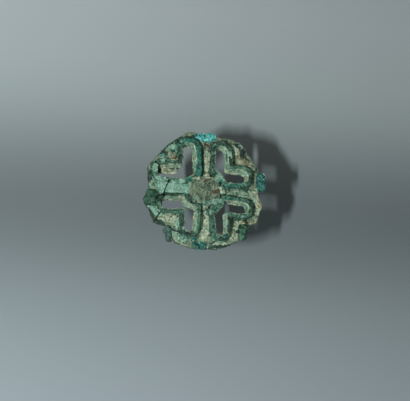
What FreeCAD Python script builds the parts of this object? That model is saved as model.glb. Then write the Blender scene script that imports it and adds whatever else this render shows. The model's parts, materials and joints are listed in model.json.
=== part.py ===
import FreeCAD, Part
import math
import os

# Compartmented stamp seal of cast copper alloy, in millimetres.
# The stamping face lies in the plane y = 0 and looks along -Y.  +Z is up and +X is to
# the right as one looks at that face.  The origin is the centre of the cross of channels.

# Casting: the plate and the raised walls on it
plate_thickness = 2.5
wall_height = 2.9
wall_draft = 0.22
wall_edge_bevel = 0.35
opening_ledge = 0.25
rim_edge_bevel = 0.5
knee_radius = 0.8
inner_corner_radius = 0.6

# The block at the middle of the cross
boss_left = 7.8
boss_right = 6.0
boss_up = 6.0
boss_down = 6.2
boss_corner_cut = 2.3
boss_corner_radius = 1.6
boss_edge_bevel = 0.35

# The shallow dips of the rim at the four ends of the cross
dip_right = 1.4
dip_up = 0.8
dip_left = 1.0
dip_down = 0.7
dip_radius = 3.0

# Carrying loop on the back
loop_thickness = 5.0
loop_width = 7.6
loop_foot_spread = 1.8
loop_foot_height = 2.2
loop_edge_bevel = 0.6
cord_hole_radius = 1.8
cord_hole_clearance = 1.7
cord_hole_crown = 2.1

# Breaks in the left rim, mended with thin seams that lie below the surface
crack_gap = 0.35
seam_sink = 0.9

# Mineral growths and soil
spoke_crust_sink = 0.15
plug_thickness = 1.4
plug_sink = 0.4
plug_reach = 9.3
plug_floor = 7.4

# The four L-shaped compartments.  Every length is a distance from the centre of the cross,
# taken at the wall tops.  near and far are the long edges of an arm, end is its tip, lean
# is how far an edge draws in towards the tip, knee is the bent corner at the centre, and
# wall_width is the width of the wall at its top.  margin and flank are the widths of bare
# plate outside the wall, at the tips and beside the arms, taper slants a lobe of the rim,
# and web fills the bay between two lobes.
cells = {
    "upper_left": dict(
        side_x=-1, side_z=1, near_x=4.3, far_x=10.5, end_x=21.0, near_z=4.4, far_z=10.8, end_z=20.6,
        lean_near_x=0.6, lean_far_x=0.6, lean_near_z=0.9, lean_far_z=0.3,
        knee_start_x=9.7, knee_x=7.3, knee_z=5.6, knee_start_z=7.0, tip_radius=2.1, wall_width=2.7,
        margin_x=1.2, margin_z=3.5, flank_x=-3.3, flank_z=-3.7, taper_x=0.0, taper_z=2.0,
        web_x=8.2, web_z=8.3, lobe_radius_x=5.0, lobe_radius_z=5.0, bay_radius=6.0),
    "upper_right": dict(
        side_x=1, side_z=1, near_x=3.9, far_x=10.0, end_x=18.9, near_z=3.8, far_z=9.6, end_z=20.1,
        lean_near_x=0.5, lean_far_x=0.2, lean_near_z=0.5, lean_far_z=0.1,
        knee_start_x=9.4, knee_x=7.5, knee_z=6.9, knee_start_z=9.4, tip_radius=2.6, wall_width=2.3,
        margin_x=4.0, margin_z=2.9, flank_x=3.9, flank_z=-1.5, taper_x=0.3, taper_z=2.2,
        web_x=4.2, web_z=6.4, lobe_radius_x=4.4, lobe_radius_z=6.0, bay_radius=3.0),
    "lower_left": dict(
        side_x=-1, side_z=-1, near_x=4.0, far_x=9.7, end_x=19.4, near_z=3.5, far_z=8.8, end_z=18.5,
        lean_near_x=0.5, lean_far_x=0.2, lean_near_z=0.3, lean_far_z=-0.2,
        knee_start_x=9.6, knee_x=8.2, knee_z=6.3, knee_start_z=7.4, tip_radius=2.2, wall_width=2.0,
        margin_x=4.4, margin_z=4.3, flank_x=2.9, flank_z=4.6, taper_x=3.8, taper_z=2.4,
        web_x=0.0, web_z=0.0, lobe_radius_x=6.0, lobe_radius_z=4.0, bay_radius=1.2),
    "lower_right": dict(
        side_x=1, side_z=-1, near_x=3.7, far_x=9.3, end_x=19.1, near_z=3.9, far_z=9.4, end_z=19.4,
        lean_near_x=0.4, lean_far_x=0.5, lean_near_z=0.9, lean_far_z=0.0,
        knee_start_x=8.3, knee_x=7.5, knee_z=6.6, knee_start_z=9.7, tip_radius=2.3, wall_width=2.3,
        margin_x=4.3, margin_z=3.7, flank_x=3.6, flank_z=1.5, taper_x=2.6, taper_z=4.4,
        web_x=0.0, web_z=0.5, lobe_radius_x=2.5, lobe_radius_z=3.0, bay_radius=1.2),
}

# The three breaks, each from an opening to the next or out over the rim
spoke_break = [(-15.4, 6.6), (-15.6, 4.9), (-16.3, 2.8), (-17.5, 0.9), (-18.4, -1.5), (-18.1, -4.8)]
lower_break = [(-18.1, -7.6), (-18.8, -9.0), (-19.6, -10.4), (-20.6, -12.0), (-21.9, -13.9), (-24.6, -17.4)]
upper_break = [(-27.0, 13.6), (-22.9, 11.6), (-20.3, 10.4), (-18.4, 8.8)]
beyond_rim = 36.0

# Lumps of corrosion and earth, as clusters of crystalline pebbles.  Each pebble has its
# place across and up from the lump's anchor, its depth below the plate's front, and its
# half lengths along X, Y and Z.
lumps = {
    "nodule_top": ("rim_top", [
        (-1.6, 0.8, -1.7, 2.8, 1.8, 2.1), (2.4, 0.8, -1.6, 3.0, 2.0, 2.2)]),
    "nodule_right": ("rim_right", [(0.2, 1.2, 7.4, 1.9, 1.9, 2.6), (0.3, 1.3, 3.9, 2.1, 2.0, 2.6)]),
    "nodule_bottom": ("rim_bottom", [(-0.8, 0.5, 1.3, 1.9, 1.3, 1.5), (-3.3, 0.6, 1.2, 1.9, 1.2, 1.4)]),
    "corrosion_mass_left": ("rim_left", [
        (1.9, 0.6, -1.8, 2.4, 1.9, 2.2), (2.6, 0.5, -4.4, 3.0, 2.3, 2.4), (1.0, 0.9, -4.9, 2.3, 1.9, 2.9)]),
    "crust_lower_left": ("bay_lower_left", [
        (-0.8, 1.3, -2.0, 2.0, 1.6, 2.4), (-0.3, 1.3, -5.0, 1.8, 1.5, 2.3)]),
    "crust_lower_right": ("bay_lower_right", [
        (2.2, 1.3, -1.6, 2.7, 1.5, 2.4), (1.5, 1.3, -4.4, 2.2, 1.4, 2.3)]),
    "soil_upper_right": ("corner_upper_right", [
        (5.2, 0.0, 1.9, 2.6, 1.0, 1.5), (3.2, 0.0, 2.5, 1.7, 0.8, 1.4)]),
    "soil_upper_left": ("corner_upper_left", [
        (-1.3, 0.0, 1.9, 2.0, 0.9, 1.7), (-3.0, 0.0, 1.3, 1.5, 0.7, 1.1)]),
}
pebble_sides = 11
pebble_rings = 5
pebble_wobble = 0.07

plate_back = wall_height + plate_thickness
least_radius = 0.18
longest_arc_share = 0.48
same_place = 1e-4
spread = 100.0


def point(x, y, z):
    return FreeCAD.Vector(x, y, z)


def doubled_area(corners):
    total = 0.0
    for index, corner in enumerate(corners):
        following = corners[(index + 1) % len(corners)]
        total += corner[0] * following[1] - following[0] * corner[1]
    return total


def anticlockwise(corners):
    return corners if doubled_area(corners) > 0 else corners[::-1]


def offset_outline(corners, distance):
    """Moves every edge of an anticlockwise rounded polygon outwards, arcs concentric."""
    moved = []
    for index, (x, z, radius) in enumerate(corners):
        before = corners[index - 1]
        after = corners[(index + 1) % len(corners)]
        into = (x - before[0], z - before[1])
        out_of = (after[0] - x, after[1] - z)
        into_length = math.hypot(*into)
        out_length = math.hypot(*out_of)
        normal_in = (into[1] / into_length, -into[0] / into_length)
        normal_out = (out_of[1] / out_length, -out_of[0] / out_length)
        share = distance / (1.0 + normal_in[0] * normal_out[0] + normal_in[1] * normal_out[1])
        bends_outwards = into[0] * out_of[1] - into[1] * out_of[0] > 0
        new_radius = radius + distance if bends_outwards else radius - distance
        moved.append((
            x + share * (normal_in[0] + normal_out[0]),
            z + share * (normal_in[1] + normal_out[1]),
            max(new_radius, least_radius)))
    return moved


def outline_wire(corners, y):
    """A closed wire in the plane y, with a tangent arc at each corner."""
    arcs = []
    for index, (x, z, radius) in enumerate(corners):
        before = corners[index - 1]
        after = corners[(index + 1) % len(corners)]
        back_length = math.hypot(before[0] - x, before[1] - z)
        ahead_length = math.hypot(after[0] - x, after[1] - z)
        back = ((before[0] - x) / back_length, (before[1] - z) / back_length)
        ahead = ((after[0] - x) / ahead_length, (after[1] - z) / ahead_length)
        half_angle = math.acos(back[0] * ahead[0] + back[1] * ahead[1]) / 2
        longest_run = longest_arc_share * min(back_length, ahead_length)
        run = min(radius / math.tan(half_angle), longest_run)
        fitted_radius = run * math.tan(half_angle)
        bow = fitted_radius / math.sin(half_angle) - fitted_radius
        inwards = (back[0] + ahead[0], back[1] + ahead[1])
        inwards_length = math.hypot(*inwards)
        arcs.append((
            point(x + back[0] * run, y, z + back[1] * run),
            point(x + inwards[0] / inwards_length * bow, y, z + inwards[1] / inwards_length * bow),
            point(x + ahead[0] * run, y, z + ahead[1] * run)))
    edges = []
    for index, (start, through, finish) in enumerate(arcs):
        edges.append(Part.Arc(start, through, finish).toShape())
        edges.append(Part.makeLine(finish, arcs[(index + 1) % len(arcs)][0]))
    return Part.Wire(edges)


def prism(wire, depth):
    return Part.Face(wire).extrude(point(0, depth, 0))


def straight_prism(corners, y, depth):
    points = [point(corner[0], y, corner[1]) for corner in corners]
    return prism(Part.makePolygon(points + points[:1]), depth)


def tapered_prism(front_corners, back_corners, front_y, back_y):
    wires = [outline_wire(front_corners, front_y), outline_wire(back_corners, back_y)]
    return Part.makeLoft(wires, True, True)


def edges_at(shape, y):
    return [edge for edge in shape.Edges if lies_at(edge, y)]


def lies_at(shape, y):
    box = shape.BoundBox
    return abs(box.YMin - y) < same_place and abs(box.YMax - y) < same_place


def in_quadrant(cell, corners):
    return [(cell["side_x"] * x, cell["side_z"] * z, radius) for x, z, radius in corners]


def wall_foot(cell):
    """The width of the drafted wall at the plate, on the outer side."""
    return cell["wall_width"] + wall_draft


def cell_outline(cell):
    """The rounded L of one compartment at the wall tops, run anticlockwise."""
    tip = cell["tip_radius"]
    corners = [
        (cell["near_x"] + cell["lean_near_x"], cell["end_z"], tip),
        (cell["near_x"], cell["knee_start_z"], knee_radius),
        (cell["knee_x"], cell["knee_z"], knee_radius),
        (cell["knee_start_x"], cell["near_z"], knee_radius),
        (cell["end_x"], cell["near_z"] + cell["lean_near_z"], tip),
        (cell["end_x"], cell["far_z"] - cell["lean_far_z"], tip),
        (cell["far_x"], cell["far_z"], inner_corner_radius),
        (cell["far_x"] - cell["lean_far_x"], cell["end_z"], tip),
    ]
    return anticlockwise(in_quadrant(cell, corners))


def rim_round_cell(cell):
    """The rim round one compartment, from the X axis to the Z axis."""
    foot = wall_foot(cell)
    rim_x = cell["end_x"] + foot + cell["margin_x"]
    rim_z = cell["end_z"] + foot + cell["margin_z"]
    side_x = cell["far_x"] + foot + cell["flank_x"]
    side_z = cell["far_z"] + foot + cell["flank_z"]
    return in_quadrant(cell, [
        (rim_x, cell["near_z"] + foot / 2, cell["lobe_radius_x"]),
        (rim_x - cell["taper_x"], side_z, cell["lobe_radius_x"]),
        (side_x + cell["web_x"], side_z + cell["web_z"], cell["bay_radius"]),
        (side_x, rim_z - cell["taper_z"], cell["lobe_radius_z"]),
        (cell["near_x"] + foot / 2, rim_z, cell["lobe_radius_z"]),
    ])


def rim_reach(length, margin, first, second):
    pair = [cells[first], cells[second]]
    lengths = [cell[length] + wall_foot(cell) + cell[margin] for cell in pair]
    return sum(lengths) / 2


def rim_outline():
    """The scalloped outline of the whole plate, anticlockwise from the right-hand dip."""
    right = rim_reach("end_x", "margin_x", "upper_right", "lower_right")
    top = rim_reach("end_z", "margin_z", "upper_left", "upper_right")
    left = rim_reach("end_x", "margin_x", "upper_left", "lower_left")
    bottom = rim_reach("end_z", "margin_z", "lower_left", "lower_right")
    channel_x = (cells["upper_right"]["near_x"] - cells["upper_left"]["near_x"]) / 2
    channel_z = (cells["upper_right"]["near_z"] - cells["lower_right"]["near_z"]) / 2
    corners = [(right - dip_right, channel_z, dip_radius)]
    corners += rim_round_cell(cells["upper_right"])
    corners += [(channel_x, top - dip_up, dip_radius)]
    corners += rim_round_cell(cells["upper_left"])[::-1]
    corners += [(dip_left - left, channel_z, dip_radius)]
    corners += rim_round_cell(cells["lower_left"])
    corners += [(channel_x, dip_down - bottom, dip_radius)]
    corners += rim_round_cell(cells["lower_right"])[::-1]
    return corners


def whole_plate():
    plate = prism(outline_wire(rim_outline(), wall_height), plate_thickness)
    plate = plate.makeChamfer(
        rim_edge_bevel, edges_at(plate, wall_height) + edges_at(plate, plate_back))
    for cell in cells.values():
        plate = plate.cut(plate_opening(cell, wall_height, plate_thickness))
    return plate


def plate_opening(cell, y, depth):
    """The hole through the plate, smaller than the wall round it by the ledge."""
    corners = offset_outline(cell_outline(cell), -wall_draft - opening_ledge)
    return prism(outline_wire(corners, y), depth)


def plate_shadow(plate):
    """Everything straight in front of the plate's own front face."""
    faces = [face for face in plate.Faces if lies_at(face, wall_height)]
    return faces[0].extrude(point(0, -wall_height, 0))


def cell_wall(cell):
    """The raised wall round one compartment, drafted on both sides and worn at the top."""
    inside = cell_outline(cell)
    outer = tapered_prism(
        offset_outline(inside, cell["wall_width"]), offset_outline(inside, wall_foot(cell)),
        0, wall_height)
    outer = outer.makeChamfer(wall_edge_bevel, edges_at(outer, 0))
    inner = tapered_prism(inside, offset_outline(inside, -wall_draft), 0, wall_height)
    return outer.cut(inner)


def central_boss():
    """The block at the middle, with its corners cut, clear of the four openings."""
    cut = boss_corner_cut
    corners = [
        (boss_right, cut - boss_down), (boss_right, boss_up - cut), (boss_right - cut, boss_up),
        (cut - boss_left, boss_up), (-boss_left, boss_up - cut), (-boss_left, cut - boss_down),
        (cut - boss_left, -boss_down), (boss_right - cut, -boss_down)]
    rounded = [(x, z, boss_corner_radius) for x, z in corners]
    block = prism(outline_wire(rounded, 0), wall_height)
    block = block.makeChamfer(boss_edge_bevel, edges_at(block, 0))
    for cell in cells.values():
        inside = cell_outline(cell)
        block = block.cut(tapered_prism(inside, offset_outline(inside, -wall_draft), 0, wall_height))
    return block


def carrying_loop():
    """A lug that spreads at its foot and carries a round cord hole along X."""
    hole_y = plate_back + cord_hole_clearance + cord_hole_radius
    crown_y = hole_y + cord_hole_radius + cord_hole_crown
    half = loop_width / 2
    foot = half + loop_foot_spread
    shoulder_y = crown_y - half
    neck_y = plate_back + loop_foot_height
    flare_radius = (loop_foot_height ** 2 + loop_foot_spread ** 2) / (2 * loop_foot_spread)
    flare_angle = math.atan2(loop_foot_spread, loop_foot_height)
    flare_y = neck_y - flare_radius * math.sin(flare_angle)
    flare_z = half + flare_radius * (1 - math.cos(flare_angle))
    outline = Part.Wire([
        Part.Arc(
            point(0, plate_back, -foot), point(0, flare_y, -flare_z), point(0, neck_y, -half)).toShape(),
        Part.makeLine(point(0, neck_y, -half), point(0, shoulder_y, -half)),
        Part.Arc(
            point(0, shoulder_y, -half), point(0, crown_y, 0), point(0, shoulder_y, half)).toShape(),
        Part.makeLine(point(0, shoulder_y, half), point(0, neck_y, half)),
        Part.Arc(
            point(0, neck_y, half), point(0, flare_y, flare_z), point(0, plate_back, foot)).toShape(),
        Part.makeLine(point(0, plate_back, foot), point(0, plate_back, -foot))])
    lug = Part.Face(outline).extrude(point(loop_thickness, 0, 0))
    lug.translate(point(-loop_thickness / 2, 0, 0))
    side_edges = [
        edge for edge in lug.Edges
        if edge.BoundBox.XLength < same_place and not lies_at(edge, plate_back)]
    lug = lug.makeChamfer(loop_edge_bevel, side_edges)
    hole = Part.makeCylinder(
        cord_hole_radius, 2 * loop_thickness, point(-loop_thickness, hole_y, 0), point(1, 0, 0))
    return lug.cut(hole)


def lump_anchor(name):
    """The point of the rim, or of the outer foot of a wall, that a lump keeps to."""
    kind, corner = name.split("_", 1)
    reach = {
        "top": (0, rim_reach("end_z", "margin_z", "upper_left", "upper_right")),
        "right": (rim_reach("end_x", "margin_x", "upper_right", "lower_right"), 0),
        "bottom": (0, -rim_reach("end_z", "margin_z", "lower_left", "lower_right")),
        "left": (-rim_reach("end_x", "margin_x", "upper_left", "lower_left"), 0)}
    if kind == "rim":
        return reach[corner]
    cell = cells[corner]
    if kind == "bay":
        return rim_round_cell(cell)[2][:2]
    foot = wall_foot(cell)
    return cell["side_x"] * (cell["far_x"] + foot), cell["side_z"] * (cell["far_z"] + foot)


def pebble(x, y, z, half_x, half_y, half_z):
    """A rounded lump with flat facets: rings of points about a line along Y, made uneven."""
    rings = []
    for ring in range(1, pebble_rings + 1):
        tilt = math.pi * ring / (pebble_rings + 1)
        corners = []
        for side in range(pebble_sides):
            turn = 2 * math.pi * side / pebble_sides
            swell = 1 + pebble_wobble * math.sin(3 * turn + 2 * ring + x)
            corners.append(point(
                x + half_x * swell * math.sin(tilt) * math.cos(turn),
                y - half_y * math.cos(tilt),
                z + half_z * swell * math.sin(tilt) * math.sin(turn)))
        rings.append(corners)
    front = point(x, y - half_y, z)
    back = point(x, y + half_y, z)
    triangles = []
    for side in range(pebble_sides):
        following = (side + 1) % pebble_sides
        triangles.append((front, rings[0][side], rings[0][following]))
        triangles.append((back, rings[-1][following], rings[-1][side]))
        for nearer, deeper in zip(rings, rings[1:]):
            triangles.append((nearer[side], deeper[side], deeper[following]))
            triangles.append((nearer[side], deeper[following], nearer[following]))
    faces = [Part.Face(Part.makePolygon([a, b, c, a])) for a, b, c in triangles]
    solid = Part.Solid(Part.makeShell(faces))
    return solid if solid.Volume > 0 else solid.reversed()


def lump(anchor, pebbles):
    across, up = lump_anchor(anchor)
    pieces = [
        pebble(across + x, wall_height + depth, up + z, half_x, half_y, half_z)
        for x, depth, z, half_x, half_y, half_z in pebbles]
    return pieces[0].multiFuse(pieces[1:])


def fragment_region(growth):
    """A deep prism round the piece of rim that broke off, grown by half the crack."""
    outside = [(-beyond_rim, lower_break[-1][1]), (-beyond_rim, upper_break[0][1])]
    corners = [(x, z, 0.0) for x, z in spoke_break + lower_break + outside + upper_break]
    region = offset_outline(anticlockwise(corners), growth)
    return straight_prism(region, -spread / 2, spread)


def largest_solid(shape):
    return max(shape.Solids, key=lambda solid: solid.Volume)


def build_nodes():
    plate = whole_plate()
    boss = central_boss()
    walls = {name: cell_wall(cell).cut(boss) for name, cell in cells.items()}
    fragment = fragment_region(-crack_gap / 2)
    fragment_and_cracks = fragment_region(crack_gap / 2)
    nodes = {
        "base_plate": largest_solid(plate.cut(fragment_and_cracks)),
        "rim_fragment": largest_solid(plate.common(fragment)),
        "central_boss": boss,
        "carrying_loop": carrying_loop(),
    }
    for name, wall in walls.items():
        nodes["wall_" + name] = wall.cut(fragment_and_cracks)
    nodes["fragment_wall_upper"] = walls["upper_left"].common(fragment)
    nodes["fragment_wall_lower"] = walls["lower_left"].common(fragment)

    seam_slab = Part.makeBox(spread, plate_thickness - seam_sink, spread)
    seam_slab.translate(point(-spread / 2, wall_height + seam_sink, -spread / 2))
    seams = plate.common(fragment_and_cracks).cut(fragment).common(seam_slab).Solids
    seams.sort(key=lambda seam: seam.CenterOfMass.z)
    for name, seam in zip(["seam_lower_rim", "seam_spoke", "seam_upper_rim"], seams):
        nodes[name] = seam

    channel_top = cells["upper_left"]["near_z"]
    channel_bottom = -cells["lower_left"]["near_z"]
    crust_end = -cells["upper_left"]["end_x"]
    crust = Part.makeBox(
        -boss_left - crust_end, wall_height - spoke_crust_sink, channel_top - channel_bottom,
        point(crust_end, spoke_crust_sink, channel_bottom))
    crust = crust.cut(walls["upper_left"]).cut(walls["lower_left"]).cut(boss)
    crust = crust.common(plate_shadow(plate))
    nodes["spoke_crust_inner"] = largest_solid(crust.cut(fragment_and_cracks))
    nodes["spoke_crust_outer"] = largest_solid(crust.common(fragment))

    upper_left = cells["upper_left"]
    plug_y = wall_height + plug_sink
    plug_box = Part.makeBox(
        plug_reach, plug_thickness, spread, point(-upper_left["end_x"], plug_y, plug_floor))
    plug = plate_opening(upper_left, plug_y, plug_thickness).common(plug_box)
    nodes["earth_plug"] = plug

    solid_parts = list(nodes.values())
    before_the_plate = Part.makeBox(
        spread, wall_height, spread, point(-spread / 2, 0, -spread / 2))
    for name, (anchor, pebbles) in lumps.items():
        growth = lump(anchor, pebbles)
        if name.startswith("soil"):
            growth = growth.common(before_the_plate)
        for part in solid_parts:
            growth = growth.cut(part)
        nodes[name] = largest_solid(growth)
    return nodes


if __name__ == "__main__":
    os.makedirs("parts", exist_ok=True)
    for node, shape in build_nodes().items():
        shape.exportStep("parts/" + node + ".step")
        box = shape.BoundBox
        print(
            node, "valid" if shape.isValid() else "NOT VALID", len(shape.Solids), "solids",
            round(shape.Volume, 1), "mm3", [round(value, 1) for value in (
                box.XMin, box.XMax, box.YMin, box.YMax, box.ZMin, box.ZMax)])
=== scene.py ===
import json
import math

import bmesh
import bpy
import numpy as np
from mathutils import Matrix, Vector
from mathutils.bvhtree import BVHTree

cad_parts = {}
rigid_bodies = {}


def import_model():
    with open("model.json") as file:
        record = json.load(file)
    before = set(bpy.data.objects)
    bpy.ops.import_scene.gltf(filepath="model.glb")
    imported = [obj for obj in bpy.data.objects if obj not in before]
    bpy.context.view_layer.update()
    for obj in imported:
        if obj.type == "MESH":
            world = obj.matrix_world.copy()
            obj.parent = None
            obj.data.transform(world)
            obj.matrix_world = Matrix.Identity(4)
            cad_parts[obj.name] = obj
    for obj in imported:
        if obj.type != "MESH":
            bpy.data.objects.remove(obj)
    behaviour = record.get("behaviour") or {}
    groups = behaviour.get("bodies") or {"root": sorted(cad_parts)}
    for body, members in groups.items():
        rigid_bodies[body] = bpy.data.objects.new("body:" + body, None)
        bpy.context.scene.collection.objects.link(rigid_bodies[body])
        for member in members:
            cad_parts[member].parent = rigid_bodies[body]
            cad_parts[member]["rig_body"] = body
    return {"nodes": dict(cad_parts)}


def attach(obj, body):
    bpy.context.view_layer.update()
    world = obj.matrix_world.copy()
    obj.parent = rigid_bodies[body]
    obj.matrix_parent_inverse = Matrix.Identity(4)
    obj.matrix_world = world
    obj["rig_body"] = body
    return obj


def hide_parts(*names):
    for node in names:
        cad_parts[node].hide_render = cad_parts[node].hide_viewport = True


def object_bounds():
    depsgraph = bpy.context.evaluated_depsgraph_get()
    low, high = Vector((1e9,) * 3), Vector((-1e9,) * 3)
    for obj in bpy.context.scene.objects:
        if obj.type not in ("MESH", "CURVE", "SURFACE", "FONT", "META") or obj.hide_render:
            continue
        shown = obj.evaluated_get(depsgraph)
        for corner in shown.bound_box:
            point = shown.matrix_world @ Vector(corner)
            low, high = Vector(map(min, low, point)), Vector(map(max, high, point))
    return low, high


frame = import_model()
cad_box = [list(corner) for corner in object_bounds()]
scene = bpy.context.scene
scene.view_settings.view_transform = "Standard"

MM = 0.001  # a millimetre, in metres


def rgb(red, green, blue):
    """A colour as it should look on the screen, as the shader wants it."""
    straight = [channel / 255 for channel in (red, green, blue)]
    return tuple(c / 12.92 if c < 0.04045 else ((c + 0.055) / 1.055) ** 2.4 for c in straight) + (1.0,)


# Camera: a little to the left of the stamping face and a little below it

VIEW_ANGLE = math.radians(13)  # how far to the left, and how far below
VIEW_DISTANCE = 0.4163
AIM_RIGHT = -0.00056
AIM_TOP = -0.0045

camera_data = bpy.data.cameras.new("camera")
camera_data.lens = 85
camera_data.sensor_width = 36
camera_data.clip_start = 0.01
camera = bpy.data.objects.new("camera", camera_data)
scene.collection.objects.link(camera)
scene.camera = camera
cosine = math.cos(VIEW_ANGLE)
sine = math.sin(VIEW_ANGLE)
to_right = Vector((cosine, -sine, 0))
to_back = Vector((-sine * cosine, -cosine ** 2, -sine))
to_top = to_back.cross(to_right)
aim = AIM_RIGHT * to_right + AIM_TOP * to_top
place = aim + VIEW_DISTANCE * to_back
camera.matrix_world = Matrix((
    (to_right.x, to_top.x, to_back.x, place.x),
    (to_right.y, to_top.y, to_back.y, place.y),
    (to_right.z, to_top.z, to_back.z, place.z),
    (0, 0, 0, 1)))


# Stage: a sheet of paper close behind the seal, seen from its front only, with painted light and shade in its
# tones, and a floor far below

BACKDROP_Y = 0.042
BACKDROP_HALF_WIDTH = 0.6
BACKDROP_TOP = 0.45
BACKDROP_SPAN = 0.10  # its painted light and shade run this far up, down, left and right from the middle
# Painted light and shade on the paper: lighter to the left and darker to the right, darker across the middle,
# lighter above and below
BACKDROP_LEFT_PAINTED_LIGHT = 1.08
BACKDROP_RIGHT_PAINTED_LIGHT = 0.94
BACKDROP_PAINTED_SHADING = [  # from the bottom to the top
    (0.0, (143, 154, 160)), (0.28, (126, 137, 140)), (0.53, (104, 113, 116)),
    (0.76, (142, 153, 155)), (1.0, (158, 168, 171))]
FLOOR_Z = -0.36
FLOOR_HALF_WIDTH = 3


def plain_material(name):
    """A material with an empty node tree, its nodes and its links."""
    material = bpy.data.materials.new(name)
    material.use_nodes = True
    material.node_tree.nodes.clear()
    return material, material.node_tree.nodes, material.node_tree.links


def stage_sheet(name, corners, material):
    """One flat sheet of the stage."""
    mesh = bpy.data.meshes.new(name)
    mesh.from_pydata(corners, [], [(0, 1, 2, 3)])
    mesh.materials.append(material)
    obj = bpy.data.objects.new(name, mesh)
    scene.collection.objects.link(obj)
    return obj


material, nodes, links = plain_material("backdrop_paper_painted_shading")
place_on = nodes.new("ShaderNodeTexCoord")
split = nodes.new("ShaderNodeSeparateXYZ")
ramp = nodes.new("ShaderNodeValToRGB")
height = nodes.new("ShaderNodeMapRange")
height.inputs["From Min"].default_value = -BACKDROP_SPAN
height.inputs["From Max"].default_value = BACKDROP_SPAN
# Painted light fall-off across the paper, lighter to the left
painted_fall_off = nodes.new("ShaderNodeMapRange")
painted_fall_off.inputs["From Min"].default_value = -BACKDROP_SPAN
painted_fall_off.inputs["From Max"].default_value = BACKDROP_SPAN
painted_fall_off.inputs["To Min"].default_value = BACKDROP_LEFT_PAINTED_LIGHT
painted_fall_off.inputs["To Max"].default_value = BACKDROP_RIGHT_PAINTED_LIGHT
ramp.color_ramp.interpolation = "CARDINAL"
while len(ramp.color_ramp.elements) < len(BACKDROP_PAINTED_SHADING):
    ramp.color_ramp.elements.new(0.5)
for element, (position, colour) in zip(ramp.color_ramp.elements, BACKDROP_PAINTED_SHADING):
    element.position = position
    element.color = rgb(*colour)
shader = nodes.new("ShaderNodeBsdfDiffuse")
clear = nodes.new("ShaderNodeBsdfTransparent")
side = nodes.new("ShaderNodeNewGeometry")
choose = nodes.new("ShaderNodeMixShader")
output = nodes.new("ShaderNodeOutputMaterial")
links.new(place_on.outputs["Object"], split.inputs[0])
links.new(split.outputs["Z"], height.inputs["Value"])
links.new(height.outputs["Result"], ramp.inputs["Fac"])
scaled = nodes.new("ShaderNodeVectorMath")
scaled.operation = "SCALE"
links.new(split.outputs["X"], painted_fall_off.inputs["Value"])
links.new(ramp.outputs["Color"], scaled.inputs[0])
links.new(painted_fall_off.outputs["Result"], scaled.inputs["Scale"])
links.new(scaled.outputs[0], shader.inputs["Color"])
links.new(side.outputs["Backfacing"], choose.inputs[0])
links.new(shader.outputs[0], choose.inputs[1])
links.new(clear.outputs[0], choose.inputs[2])
links.new(choose.outputs[0], output.inputs["Surface"])

backdrop = stage_sheet("backdrop", [
    (-BACKDROP_HALF_WIDTH, BACKDROP_Y, FLOOR_Z),
    (BACKDROP_HALF_WIDTH, BACKDROP_Y, FLOOR_Z),
    (BACKDROP_HALF_WIDTH, BACKDROP_Y, BACKDROP_TOP),
    (-BACKDROP_HALF_WIDTH, BACKDROP_Y, BACKDROP_TOP)], material)
backdrop.visible_shadow = False
backdrop.visible_diffuse = False
backdrop.visible_glossy = False

material, nodes, links = plain_material("floor_paper")
shader = nodes.new("ShaderNodeBsdfDiffuse")
shader.inputs["Color"].default_value = rgb(176, 184, 187)
# Painted light: the floor glows with an even grey that only the camera sees, so it looks brighter than its
# lamps make it
glow = nodes.new("ShaderNodeEmission")
glow.inputs["Color"].default_value = rgb(128, 136, 139)
seen = nodes.new("ShaderNodeLightPath")
both = nodes.new("ShaderNodeAddShader")
output = nodes.new("ShaderNodeOutputMaterial")
links.new(seen.outputs["Is Camera Ray"], glow.inputs["Strength"])
links.new(shader.outputs[0], both.inputs[0])
links.new(glow.outputs[0], both.inputs[1])
links.new(both.outputs[0], output.inputs["Surface"])
stage_sheet("floor", [
    (-FLOOR_HALF_WIDTH, -FLOOR_HALF_WIDTH, FLOOR_Z),
    (FLOOR_HALF_WIDTH, -FLOOR_HALF_WIDTH, FLOOR_Z),
    (FLOOR_HALF_WIDTH, FLOOR_HALF_WIDTH, FLOOR_Z),
    (-FLOOR_HALF_WIDTH, FLOOR_HALF_WIDTH, FLOOR_Z)], material)


# Light: an even studio, a narrow light from the front, the left and below, and a soft one from behind

WORLD_STRENGTH = 0.31

world = bpy.data.worlds.new("studio")
scene.world = world
world.use_nodes = True
world.node_tree.nodes["Background"].inputs["Color"].default_value = rgb(222, 220, 212)
world.node_tree.nodes["Background"].inputs["Strength"].default_value = WORLD_STRENGTH


def area_light(name, direction, distance, width, height, share):
    """A soft box that adds the given share of full light to a surface that faces it."""
    data = bpy.data.lights.new(name, "AREA")
    data.shape = "RECTANGLE"
    data.size = width
    data.size_y = height
    data.energy = share * math.pi ** 2 * distance ** 2
    lamp = bpy.data.objects.new(name, data)
    scene.collection.objects.link(lamp)
    towards = Vector(direction).normalized()
    lamp.location = towards * distance
    lamp.rotation_euler = towards.to_track_quat("Z", "Y").to_euler()


area_light("key", direction=(-26.4, -38, -13.6), distance=0.8, width=0.024, height=0.11, share=1.0)
area_light("back_fill", direction=(30, 45, 30), distance=0.9, width=0.4, height=0.4, share=0.75)


# Noise on points given in millimetres

def hashed(x, y, z, seed):
    """A number between 0 and 1 for each lattice corner, the same in every run."""
    mixed = (x * 73856093) ^ (y * 19349663) ^ (z * 83492791) ^ (seed * 2654435761)
    mixed = mixed & 0xFFFFFFFF
    mixed = ((mixed ^ (mixed >> 16)) * 0x45D9F3B) & 0xFFFFFFFF
    mixed = ((mixed ^ (mixed >> 16)) * 0x45D9F3B) & 0xFFFFFFFF
    return ((mixed ^ (mixed >> 16)) & 0xFFFFFF) / 0xFFFFFF


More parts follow.
